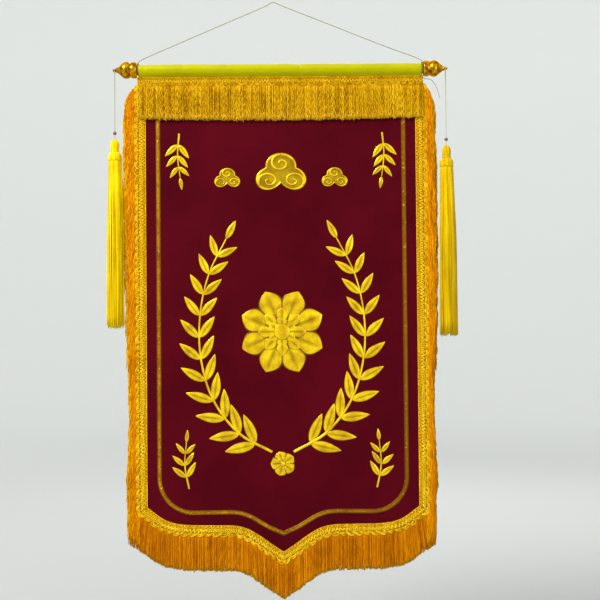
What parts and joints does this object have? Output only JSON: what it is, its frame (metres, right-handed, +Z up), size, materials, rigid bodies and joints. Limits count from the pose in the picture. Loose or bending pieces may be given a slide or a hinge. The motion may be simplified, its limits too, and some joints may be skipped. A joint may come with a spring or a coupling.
{
  "type": "silk honor pennant with its hanging rod",
  "caption": "Red velvet honor pennant with gold fringe on every side, a satin sleeve on a rod with gold finials, tassels and a hanging cord.",
  "frame": {"origin": "where the bend of the hanging cord bears on the nail that holds the pennant up", "axes": "+Z up, +X to the right of the face, +Y back to the wall"},
  "size_m": [0.8447, 0.0398, 1.4459],
  "materials": {
    "rod": "plain sanded dowel",
    "satin": "golden-yellow satin",
    "velvet": "dark red short-pile velvet",
    "fringe": "golden rayon gimp and fringe",
    "gold_film": "raised gold film",
    "plating": "gold-plated turned plastic",
    "cord": "pale twisted cord",
    "bead": "dark red lacquer",
    "tassel": "bright yellow silk-like yarn"
  },
  "bodies": {
    "root": {"rod": "rod", "sleeve": "satin", "field": "velvet", "top_trim": "fringe", "bottom_trim": "fringe", "side_trim_left": "fringe", "side_trim_right": "fringe", "border_line": "gold_film", "wreath_left": "gold_film", "wreath_right": "gold_film", "rosette": "gold_film", "rosette_heart": "gold_film", "knot": "gold_film", "cloud_middle": "gold_film", "cloud_left": "gold_film", "cloud_right": "gold_film", "sprig_upper_left": "gold_film", "sprig_upper_right": "gold_film", "sprig_lower_left": "gold_film", "sprig_lower_right": "gold_film", "finial_left": "plating", "finial_right": "plating", "hanging_cord": "cord", "tie_left": "cord", "tie_right": "cord", "cord_tail": "cord", "tassel_string_left": "cord", "tassel_string_right": "cord", "bead_left": "bead", "bead_right": "bead", "tassel_left": "tassel", "tassel_right": "tassel"}
  },
  "joints": []
}
